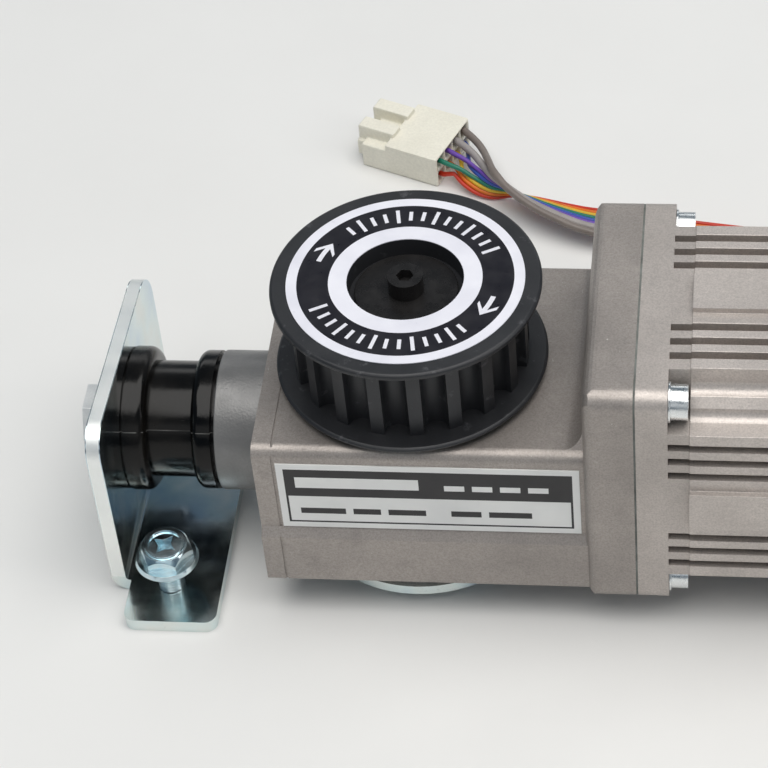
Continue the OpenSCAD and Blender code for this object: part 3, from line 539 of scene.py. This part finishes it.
def add_tube(mesh_data, line, radius, sides=10, slot=0):
    """Round tube along a list of points, with closed ends; radius may be a list."""
    radii = radius if isinstance(radius, list) else [radius] * len(line)
    rings = []
    normal = None
    for i, point in enumerate(line):
        run = (line[min(i + 1, len(line) - 1)] - line[max(i - 1, 0)]).normalized()
        if normal is None:
            normal = run.orthogonal().normalized()
        normal = (normal - run * normal.dot(run)).normalized()
        other = run.cross(normal)
        ring = []
        for k in range(sides):
            angle = 2 * math.pi * k / sides
            offset = normal * math.cos(angle) + other * math.sin(angle)
            ring.append(mesh_data.verts.new(point + offset * radii[i]))
        rings.append(ring)
    faces = []
    for first, second in zip(rings, rings[1:]):
        for k in range(sides):
            j = (k + 1) % sides
            faces.append(mesh_data.faces.new((first[k], first[j], second[j], second[k])))
    faces.append(mesh_data.faces.new(rings[0][::-1]))
    faces.append(mesh_data.faces.new(rings[-1]))
    for face in faces:
        face.material_index = slot


def smooth_line(points, steps):
    """Catmull-Rom curve through lists of numbers of any length."""
    line = []
    last = len(points) - 1
    for i in range(last):
        a, b = points[max(i - 1, 0)], points[i]
        c, d = points[i + 1], points[min(i + 2, last)]
        for k in range(steps):
            t = k / steps
            line.append([
                0.5 * (2 * q + (r - p) * t + (2 * p - 5 * q + 4 * r - s) * t * t
                       + (3 * q - p - 3 * r + s) * t ** 3)
                for p, q, r, s in zip(a, b, c, d)])
    line.append(list(points[-1]))
    return line


# ---------------------------------------------------------------- ribbon lead

# Middle of the lead: x, y, z in millimetres from the pulley axis, and its roll in
# degrees; at 0 the first wire is on the right of the run, and the ribbon is level.
LEAD_ROUTE = [
    (141.9, 22, 36.3, 0), (141.9, 31.5, 36.3, 0), (141.2, 38, 35.2, -2), (139, 46, 31, -8),
    (134, 55, 24, -15), (126, 63, 16.5, -20), (114, 69, 10.5, -20), (98, 74, 7.2, -15),
    (80, 78, 5.6, -12), (62, 81.5, 5.0, -8), (46, 84.4, 5.0, -4), (31, 87.6, 5.0, 4),
    (24, 90.3, 5.0, 16), (18, 93.3, 5.1, 28), (13.5, 96, 5.2, 42), (9.5, 98.7, 5.2, 62),
    (5.5, 101, 5.1, 100), (2, 104.6, 5.0, 140), (-0.8, 108.8, 4.7, 168), (-4.4, 112.4, 4.4, 180),
]
THIN, THICK = 1.0, 1.8                  # the two wire thicknesses in millimetres
# Each wire: name, colour, thickness, and its socket as (row, column).
WIRES = [
    ("red", (0.60, 0.035, 0.012), THIN, (-1, 0)),
    ("orange", (0.75, 0.17, 0.01), THIN, (-1, 1)),
    ("yellow", (0.72, 0.46, 0.03), THIN, (-1, 2)),
    ("green", (0.01, 0.19, 0.12), THIN, (1, 0)),
    ("blue", (0.04, 0.09, 0.42), THIN, (-1, 3)),
    ("violet", (0.16, 0.07, 0.42), THIN, (1, 1)),
    ("grey", (0.36, 0.33, 0.32), THICK, (1, 2)),
    ("taupe", (0.22, 0.185, 0.165), THICK, (1, 3)),
]
RIBBON_WIDTH = sum(wire[2] for wire in WIRES)
SPLAY = {1: 0.13, -1: 0.075}            # share of the lead that is parted, by socket row
LOOSE_SWELL = 0.25                      # share by which a thin wire is thicker where parted

# Connector: its middle, its turn, how far its wire side lies from the middle, and its
# sockets, four across in two rows. Lengths are in millimetres.
CONNECTOR_MIDDLE = Vector((-13.8, 116.4))
CONNECTOR_TURN = math.radians(-22.5)
WIRE_SIDE = 10.2
SOCKET_PITCH = 4
SOCKET_RISE = 2
SOCKET_MIDDLE_Z = 4.3
SOCKET_DEPTH = 2.5


def wire_socket(row, column):
    """Where a wire enters the connector: one of two rows of four."""
    along = Vector((math.cos(CONNECTOR_TURN), math.sin(CONNECTOR_TURN)))
    across = Vector((-along.y, along.x))
    place = CONNECTOR_MIDDLE + along * WIRE_SIDE + across * ((column - 1.5) * SOCKET_PITCH)
    return at(place.x, place.y, SOCKET_MIDDLE_Z + SOCKET_RISE * row)


def wire_route(line, centre, offset, goal, parted_share):
    """Points of one wire, offset mm from the ribbon's middle and drawn towards goal in the
    parted share of the lead, and for each point how far it is parted, from 0 to 1."""
    last = len(line) - 1
    points, shares = [], []
    for i, (_, _, _, roll) in enumerate(line):
        run = (centre[min(i + 1, last)] - centre[max(i - 1, 0)]).normalized()
        side = Vector((0, 0, 1)).cross(run).normalized()
        up = run.cross(side)
        angle = math.radians(roll)
        across = side * math.cos(angle) + up * math.sin(angle)
        bonded = centre[i] + across * offset * MM
        loose = goal + (centre[i] - centre[-1])
        share = max(0.0, (i / last - 1 + parted_share) / parted_share)
        share = share * share * (3 - 2 * share)
        points.append(bonded.lerp(loose, share))
        shares.append(share)
    return points, shares


def add_lead():
    """Eight bonded wires that part just before the connector."""
    line = smooth_line(LEAD_ROUTE, 6)
    centre = [at(x, y, z) for x, y, z, _ in line]
    into_socket = Vector((-math.cos(CONNECTOR_TURN), -math.sin(CONNECTOR_TURN), 0))
    plunge = into_socket * SOCKET_DEPTH * MM
    mesh_data = bmesh.new()
    start = -RIBBON_WIDTH / 2
    for slot, (_, _, thick, socket) in enumerate(WIRES):
        goal = wire_socket(*socket)
        points, shares = wire_route(line, centre, start + thick / 2, goal, SPLAY[socket[0]])
        start += thick
        swell = LOOSE_SWELL if thick == THIN else 0
        radii = [thick / 2 * MM * (1 + swell * share) for share in shares]
        add_tube(mesh_data, points + [goal + plunge], radii + radii[-1:], 12, slot)
    lead = add_piece("lead_wires", mesh_data, "base", None)
    for name, colour, _, _ in WIRES:
        lead.data.materials.append(wire_jacket("wire_" + name, colour))
    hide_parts("lead_ribbon")
    centre.append(centre[-1] + plunge)


# ---------------------------------------------------------------- small pieces


def add_label_marks():
    """Two turning arrows and rows of plain ticks on the black ring of the label."""
    mesh_data = bmesh.new()
    height = label_top + 0.02 * MM
    ring_r = 18.2                           # middle of the black ring

    def patch(corners, lift=0.0):
        """Flat patch from (radius in mm, angle in degrees) corners, raised by lift in mm."""
        points = []
        for radius, angle in corners:
            turn = math.radians(angle)
            x, y = radius * MM * math.cos(turn), radius * MM * math.sin(turn)
            points.append((axis_x + x, y, height + lift * MM))
        mesh_data.faces.new([mesh_data.verts.new(p) for p in points])

    shaft_in, shaft_out = ring_r - 0.5, ring_r + 0.5
    step = 2.5                              # degrees covered by one patch of an arrow's shaft
    for start in (158, -22):                # middle of each arrow's shaft
        for k in range(6):
            a = start + (3 - k) * step
            b = a - step
            patch([(shaft_in, a), (shaft_in, b), (shaft_out, b), (shaft_out, a)], lift=0.01)
        tip = start - 10.5
        for barb in (-2.1, 2.1):
            patch([(ring_r, tip), (ring_r + barb, tip + 8.2), (ring_r + barb, tip + 11.2),
                   (ring_r, tip + 3.6)])
    ticks = 14                              # every third tick is longer
    for start, end in ((28, 132), (208, 312)):
        for k in range(ticks):
            a = start + (end - start) * k / (ticks - 1)
            reach = 1.3 if k % 3 else 1.9
            patch([(ring_r - reach, a - 1.3), (ring_r - reach, a + 1.3),
                   (ring_r + reach, a + 1.1), (ring_r + reach, a - 1.1)])
    for face in mesh_data.faces:
        face.normal_update()
        if face.normal.z < 0:
            face.normal_flip()
    white = plain_surface("label_white_ink", ((0.80, 0.80, 0.86), (0.72, 0.72, 0.78)),
                          metallic=0.0, gloss=(0.3, 0.42), grain=(0.5, 0.004))
    marks = add_piece("pulley_label_marks", mesh_data, "output", white, smooth=False)


def add_bolt_threads():
    """Raised thread on the free part of each foot bolt's shank."""
    low, high = node_box("foot_bolts")
    flange_r = 6.6 * MM
    shank_r = 2.5 * MM
    thread_r = 0.22 * MM
    pitch = 0.8 * MM
    reach = 10.6 * MM
    foot = 0.3 * MM
    steps = 20                              # points in one turn of the thread
    y = low.y + flange_r
    for name, x in (("front_bolt_thread", low.x + flange_r), ("rear_bolt_thread", high.x - flange_r)):
        mesh_data = bmesh.new()
        line = []
        for k in range(int(reach / pitch) * steps + 1):
            angle = 2 * math.pi * k / steps
            line.append(Vector((x + shank_r * math.cos(angle), y + shank_r * math.sin(angle),
                                foot + pitch * k / steps)))
        add_tube(mesh_data, line, thread_r, 5)
        add_piece(name, mesh_data, "base", BLUED)


# Bush outline from the bracket plate inwards: distance and radius in millimetres.
BUSH_OUTLINE = [
    (0, 14.7), (1.4, 14.7), (1.45, 13.9), (1.95, 13.9), (2, 14.9), (4.6, 14.9), (6.0, 14.3),
    (6.6, 12.9), (6.65, 12), (15.6, 12), (15.6, 12.6), (16.1, 13.8), (17.3, 14.3), (19.8, 14.3),
    (19.85, 13), (20.6, 13),
]


def add_mould_lines():
    """Fine parting line of the mould, along both sides of each bush."""
    line_r = 0.13 * MM
    tilt = math.radians(34)
    across = Vector((0, math.cos(tilt), -math.sin(tilt)))
    for node, inward in (("front_rubber_bush", 1), ("rear_rubber_bush", -1)):
        low, high = node_box(node)
        start = low.x if inward == 1 else high.x
        axis_z = (low.z + high.z) / 2
        mesh_data = bmesh.new()
        for side in (-1, 1):
            line = [Vector((start + inward * x * MM, 0, axis_z)) + across * side * r * MM
                    for x, r in BUSH_OUTLINE]
            add_tube(mesh_data, line, line_r, 6)
        add_piece(node + "_mould_line", mesh_data, "base", DUST)


def add_floor():
    """Wide pale table under the unit."""
    half_width = 3.0
    mesh_data = bmesh.new()
    bmesh.ops.create_grid(mesh_data, x_segments=1, y_segments=1, size=half_width)
    mesh = bpy.data.meshes.new("table")
    mesh_data.to_mesh(mesh)
    mesh_data.free()
    table = bpy.data.objects.new("table", mesh)
    mesh.materials.append(table_top())
    scene.collection.objects.link(table)


# ---------------------------------------------------------------- scene


add_camera()
add_lead()
add_lights()
add_floor()
dress_nodes()
add_label_marks()
add_bolt_threads()
add_mould_lines()
